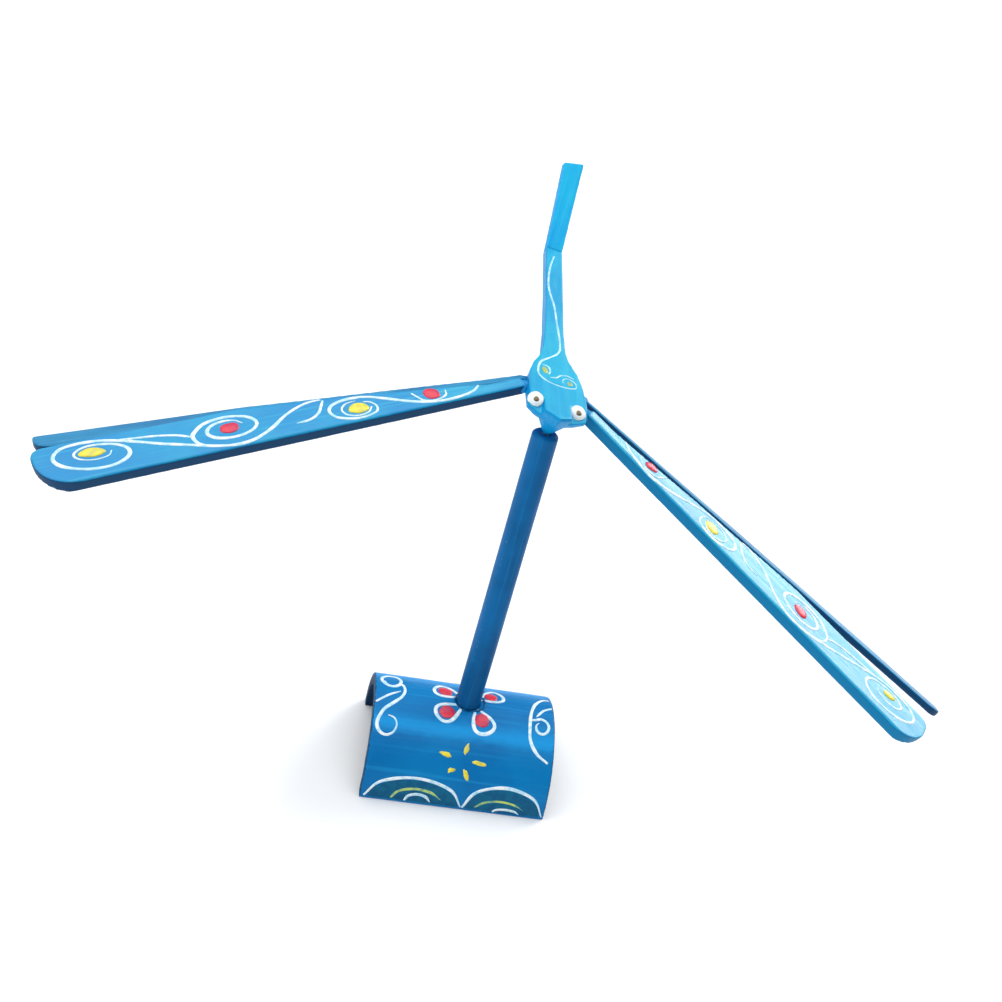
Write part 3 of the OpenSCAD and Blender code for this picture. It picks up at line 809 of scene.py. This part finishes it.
def stand_lines(bm):
    """White outlines of the petals and of the half ovals, and the curls near the stand's ends."""
    for petal in PETALS:
        stroke(bm, base_face, petal_outline(*petal[:4]), width=1.05, start=0.6, end=0.6)
    for face in (base_face, base_back):
        for centre, radii, end, width in (((-10.2, 0.9), (12.2, 6.4), 0, 0.85),
                                          ((12.6, 0.9), (10.3, 6.8), 0, 0.85),
                                          ((-9.1, 0.9), (3.2, 2.2), 10, 0.85),
                                          ((13.6, 0.7), (3.4, 1.1), 10, 0.75)):
            stroke(bm, face, curl(centre, radii, radii, 180, end), width=width)
    # S on the left end
    stroke(bm, base_face, [(-23, 25.3), (-19.8, 28.2), (-16.9, 30)], width=0.75)
    stroke(bm, base_face, curl((-19.2, 34.6), (2.2, 2.9), (2.9, 3.0), -160, 330)
           + [(-15.8, 31), (-16.4, 28.3), (-18.5, 25.8), (-20.8, 23.4)]
           + curl((-19.6, 19.6), (2.6, 3.0), (2.3, 2.4), 175, 450), width=0.85)
    # C and inner curl on the right end
    stroke(bm, base_face, [(22.6, 35.9), (20.8, 35.4), (18.6, 32.4), (17.1, 28), (16.8, 23.5),
                           (17.2, 20), (19, 17), (21.9, 15)], width=0.85, end=0.9)
    stroke(bm, base_face, [(17.1, 26.2)] + curl((19.8, 24.4), (2.4, 2.7), (1.2, 1.4), 130, -240),
           width=0.8)
    stroke(bm, base_face, [(22.9, 31.6), (20.6, 30.2), (18.6, 27.6)], width=0.75)


def stand_reds(bm):
    """A red dab in each petal."""
    for angle, _, length, width, r in PETALS:
        a = math.radians(angle)
        dab(bm, base_face, (POST_SHIFT + r * math.cos(a), CREST + r * math.sin(a)),
            (length * 0.55, width * 0.68), angle, height=0.25)


def stand_dashes(bm):
    """A star of yellow dashes on each side."""
    for face in (base_face, base_back):
        dabs(bm, face, DASHES, height=0.18, ragged=0.2)


def stand_limes(bm):
    """A lime arc in each half oval."""
    for face in (base_face, base_back):
        stroke(bm, face, curl((-9.4, 0.9), (6.4, 3.7), (6.6, 3.5), 175, 22),
               width=0.9, height=0.1, start=0.9, end=0.15)
        stroke(bm, face, curl((12.2, 0.6), (7.0, 3.4), (6.6, 3.2), 165, 30),
               width=0.8, height=0.1, start=0.7, end=0.15)


def stand_washes(bm):
    """Teal paint that fills the half ovals."""
    for face in (base_face, base_back):
        wash(bm, face, (-10.2, 0.8), (12.0, 6.3))
        wash(bm, face, (12.6, 0.8), (10.1, 6.7))


def post_collar(bm):
    """A ring of glue on the crest, straight below the balance point, at the leaning post's foot."""
    radii = (3.4, 3.4)
    ring = curl((POST_SHIFT, CREST), radii, radii, 0, 372)
    stroke(bm, base_face, ring, width=0.8, height=0.35, end=0.75)


paint("white_lines_stand", base_face, WHITE, stand_lines)
paint("red_petals_stand", base_face, RED, stand_reds)
paint("yellow_dashes_stand", base_face, YELLOW, stand_dashes)
paint("lime_arcs_stand", base_face, LIME, stand_limes)
paint("teal_washes_stand", base_face, TEAL, stand_washes)
paint("glue_at_post_foot", base_face, POST_PAINT, post_collar)

# ---------------------------------------------------------------- floor, light and camera

# Half of the floor's side, in metres
FLOOR_HALF = 30.0


def add_floor():
    """A wide white floor."""
    corners = [(x * FLOOR_HALF, y * FLOOR_HALF, 0) for x, y in ((-1, -1), (1, -1), (1, 1), (-1, 1))]
    mesh = bpy.data.meshes.new("floor")
    mesh.from_pydata(corners, [], [(0, 1, 2, 3)])
    material, _, shader = new_material("floor_white")
    shader.inputs["Base Color"].default_value = (0.92, 0.93, 0.94, 1)
    shader.inputs["Roughness"].default_value = 0.7
    mesh.materials.append(material)
    floor = bpy.data.objects.new("floor", mesh)
    bpy.context.scene.collection.objects.link(floor)


def add_light(name, towards, softness, power):
    """A far lamp. towards points from the object to it, and softness is its width in degrees."""
    light = bpy.data.lights.new(name, "SUN")
    light.angle = math.radians(softness)
    light.energy = power
    lamp = bpy.data.objects.new(name, light)
    lamp.rotation_euler = Vector(towards).to_track_quat("Z", "Y").to_euler()
    bpy.context.scene.collection.objects.link(lamp)


def add_camera():
    """Seen from the front, a little from the left and above, with the camera held at a slant."""
    # Angles in radians, and the distance from the balance point in metres
    azimuth = -0.1977
    elevation = 0.4508
    roll = 0.2667
    distance = 0.3041
    back = Vector((math.sin(azimuth) * math.cos(elevation), -math.cos(azimuth) * math.cos(elevation),
                   math.sin(elevation)))
    right = (-back).cross(Vector((0, 0, 1))).normalized()
    up = right.cross(-back)
    held_right = right * math.cos(roll) + up * math.sin(roll)
    held_up = up * math.cos(roll) - right * math.sin(roll)
    camera = bpy.data.cameras.new("camera")
    camera.lens = 47.3
    camera.sensor_width = 36.0
    camera.shift_x = -0.0445
    camera.shift_y = -0.067
    camera.clip_start = 0.01
    viewer = bpy.data.objects.new("camera", camera)
    viewer.matrix_world = Matrix.Translation(PIVOT + back * distance) @ Matrix(
        (held_right, held_up, back)).transposed().to_4x4()
    bpy.context.scene.collection.objects.link(viewer)
    bpy.context.scene.camera = viewer


def add_world(colour, strength):
    """Even light from all around."""
    world = bpy.data.worlds.new("studio")
    world.use_nodes = True
    background = world.node_tree.nodes["Background"]
    background.inputs["Color"].default_value = colour
    background.inputs["Strength"].default_value = strength
    bpy.context.scene.world = world


add_floor()
add_light("key", (-0.10, 0.06, 0.98), softness=75, power=2.5)
add_light("fill", (-0.93, -0.34, 0.25), softness=50, power=1.15)
add_light("sheen", (0.66, 0.60, 0.45), softness=30, power=1.6)
add_camera()
add_world(colour=(0.93, 0.96, 1.0, 1), strength=0.28)
bpy.context.scene.view_settings.view_transform = "Standard"
